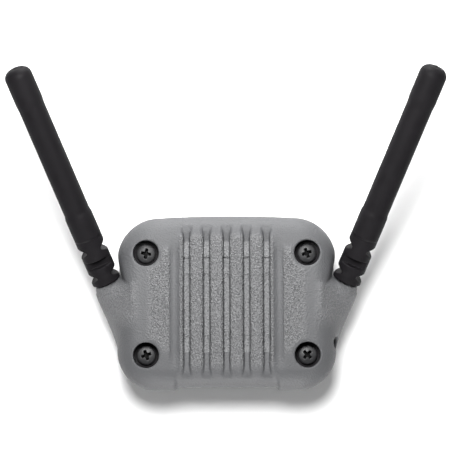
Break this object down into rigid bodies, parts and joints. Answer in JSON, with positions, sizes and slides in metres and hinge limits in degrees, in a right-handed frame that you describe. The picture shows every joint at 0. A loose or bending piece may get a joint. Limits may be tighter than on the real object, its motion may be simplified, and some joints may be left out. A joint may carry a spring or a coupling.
{
  "type": "twin-antenna video link module",
  "caption": "Small grey ribbed radio module with recessed cross-head screws and flexible black stub antennas splayed in a V.",
  "frame": {"origin": "centre of the flat rear face", "axes": "+Z out of the ribbed face, +Y towards the side the antennas lean to, +X to the right seen from the front"},
  "size_m": [0.1152, 0.085, 0.0394],
  "materials": {
    "grey_plastic": "fine leather grain, satin",
    "black_rubber": "matte",
    "black_steel": "black oxide, satin",
    "brass": "machined",
    "circuit_board": "solder mask, gloss",
    "bright_steel": "tin plated",
    "chip_plastic": "moulded epoxy, matte",
    "thermal_silicone": "soft, matte",
    "seal_silicone": "satin",
    "aluminium": "milled",
    "coax_jacket": "smooth"
  },
  "bodies": {
    "case": {"ribbed_cover": "grey_plastic", "rear_cover": "grey_plastic", "perimeter_seal": "black_rubber", "cover_screws": "black_steel", "screw_washers": "black_rubber", "threaded_inserts": "brass", "main_circuit_board": "circuit_board", "board_screws": "bright_steel", "radio_shield_cans": "bright_steel", "video_processor": "chip_plastic", "memory_chips": "chip_plastic", "thermal_pad": "thermal_silicone", "heat_spreader": "aluminium", "usb_c_receptacle": "bright_steel", "pairing_switch": "chip_plastic", "coax_sockets": "brass", "coax_plugs": "bright_steel", "left_coax": "coax_jacket", "left_antenna_base": "black_rubber", "left_boss_seal": "seal_silicone", "left_ferrule": "brass", "right_coax": "coax_jacket", "right_antenna_base": "black_rubber", "right_boss_seal": "seal_silicone", "right_ferrule": "brass"},
    "left_neck_low": {"left_web_low": "black_rubber", "left_ring_low": "black_rubber"},
    "left_neck_high": {"left_web_mid": "black_rubber", "left_ring_high": "black_rubber"},
    "left_antenna": {"left_web_high": "black_rubber", "left_feed": "coax_jacket", "left_rod": "black_rubber", "left_radiator": "brass"},
    "right_neck_low": {"right_web_low": "black_rubber", "right_ring_low": "black_rubber"},
    "right_neck_high": {"right_web_mid": "black_rubber", "right_ring_high": "black_rubber"},
    "right_antenna": {"right_web_high": "black_rubber", "right_feed": "coax_jacket", "right_rod": "black_rubber", "right_radiator": "brass"},
    "pairing_button": {"pairing_button": "black_rubber"}
  },
  "joints": [
    {"name": "left_lower_side_flex", "type": "hinge", "parent": "case", "child": "left_neck_low", "pos_m": [-0.03299, 0.00863, 0.01484], "axis": [0.1377, -0.3308, 0.9336], "range_deg": [-12, 12], "stiffness_Nm_per_rad": 0.06, "deforming": ["left_web_low", "left_feed"]},
    {"name": "left_front_back_flex", "type": "hinge", "parent": "left_neck_low", "child": "left_neck_high", "pos_m": [-0.0343, 0.01177, 0.01615], "axis": [0.9232, 0.3843, 0], "range_deg": [-15, 15], "stiffness_Nm_per_rad": 0.06, "deforming": ["left_web_mid", "left_feed"]},
    {"name": "left_upper_side_flex", "type": "hinge", "parent": "left_neck_high", "child": "left_antenna", "pos_m": [-0.03567, 0.01505, 0.01751], "axis": [0.1377, -0.3308, 0.9336], "range_deg": [-12, 12], "stiffness_Nm_per_rad": 0.06, "deforming": ["left_web_high", "left_feed"]},
    {"name": "right_lower_side_flex", "type": "hinge", "parent": "case", "child": "right_neck_low", "pos_m": [0.03299, 0.00863, 0.01484], "axis": [0.1377, 0.3308, -0.9336], "range_deg": [-12, 12], "stiffness_Nm_per_rad": 0.06, "deforming": ["right_web_low", "right_feed"]},
    {"name": "right_front_back_flex", "type": "hinge", "parent": "right_neck_low", "child": "right_neck_high", "pos_m": [0.0343, 0.01177, 0.01615], "axis": [0.9232, -0.3843, 0], "range_deg": [-15, 15], "stiffness_Nm_per_rad": 0.06, "deforming": ["right_web_mid", "right_feed"]},
    {"name": "right_upper_side_flex", "type": "hinge", "parent": "right_neck_high", "child": "right_antenna", "pos_m": [0.03567, 0.01505, 0.01751], "axis": [0.1377, 0.3308, -0.9336], "range_deg": [-12, 12], "stiffness_Nm_per_rad": 0.06, "deforming": ["right_web_high", "right_feed"]},
    {"name": "pairing_button_press", "type": "slide", "parent": "case", "child": "pairing_button", "axis": [-1, 0, 0], "range_m": [0, 0.0004], "stiffness_N_per_m": 500}
  ]
}
